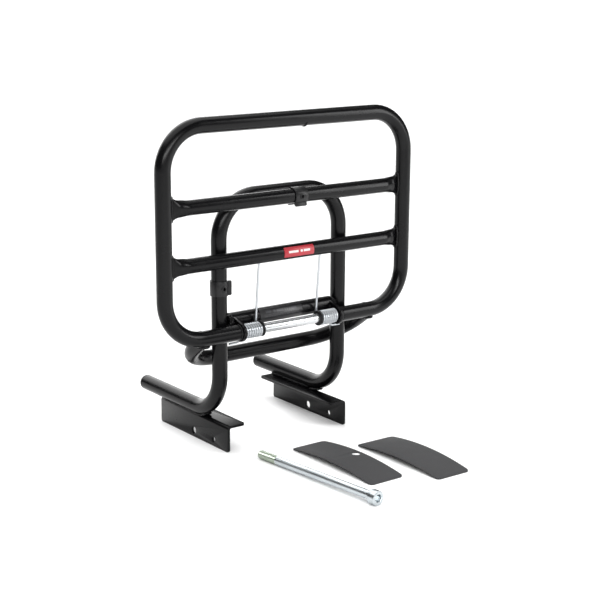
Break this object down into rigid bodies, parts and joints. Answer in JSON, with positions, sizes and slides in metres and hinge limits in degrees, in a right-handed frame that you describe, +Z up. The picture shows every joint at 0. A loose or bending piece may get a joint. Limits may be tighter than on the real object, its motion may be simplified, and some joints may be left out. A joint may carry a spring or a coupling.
{
  "type": "folding luggage rack",
  "caption": "Folding rear luggage rack of bent black tube: a carrier with crossbars hinged on a U-shaped mast with foot rails, sprung to fold up, with a loose bolt and curved pads.",
  "frame": {"origin": "centre of the whole kit's bounding box seen from above, on the floor under the foot brackets", "axes": "+X along the crossbars, +Y towards the ends of the foot rails, -Y the side the carrier unfolds to, +Z up"},
  "size_m": [0.3536, 0.4092, 0.3858],
  "materials": {
    "powder_coat": "satin black powder coat over steel",
    "black_plastic": "moulded black plastic",
    "rod_chrome": "bright plated rod",
    "zinc_wire": "zinc-plated spring wire",
    "zinc_bolt": "bright zinc plating",
    "rubber_pad": "matte dark grey rubber",
    "red_label": "printed vinyl, no words",
    "grey_label": "dull grey foil, no words"
  },
  "bodies": {
    "mast": {"mast_tube": "powder_coat", "foot_bracket_left": "powder_coat", "foot_bracket_right": "powder_coat", "cross_tube": "powder_coat", "hinge_ear_left": "powder_coat", "hinge_ear_right": "powder_coat", "hinge_rod": "rod_chrome", "spring_collar_left": "black_plastic", "spring_collar_right": "black_plastic", "spring_tail_left": "zinc_wire", "spring_tail_right": "zinc_wire", "mast_clip": "black_plastic", "rail_plug_left": "black_plastic", "rail_plug_right": "black_plastic", "maker_label": "grey_label"},
    "carrier": {"carrier_loop": "powder_coat", "upper_crossbar": "powder_coat", "lower_crossbar": "powder_coat", "stop_hoop": "powder_coat", "stub_bush_left": "black_plastic", "stub_bush_right": "black_plastic", "spring_arm_left": "zinc_wire", "spring_arm_right": "zinc_wire", "crossbar_clip": "black_plastic", "load_label": "red_label"},
    "mounting_bolt": {"mounting_bolt": "zinc_bolt"},
    "holed_pad": {"holed_pad": "rubber_pad"},
    "plain_pad": {"plain_pad": "rubber_pad"}
  },
  "joints": [
    {"name": "carrier_fold", "type": "hinge", "parent": "mast", "child": "carrier", "pos_m": [0, 0.01934, 0.141], "axis": [1, 0, 0], "range_deg": [0, 90], "stiffness_Nm_per_rad": 3.4, "springref_deg": -8.59},
    {"name": "bolt_lift", "type": "slide", "parent": "mast", "child": "mounting_bolt", "axis": [0, 0, 1], "range_m": [0, 0.05]},
    {"name": "holed_pad_lift", "type": "slide", "parent": "mast", "child": "holed_pad", "axis": [0, 0, 1], "range_m": [0, 0.05]},
    {"name": "plain_pad_lift", "type": "slide", "parent": "mast", "child": "plain_pad", "axis": [0, 0, 1], "range_m": [0, 0.05]}
  ]
}
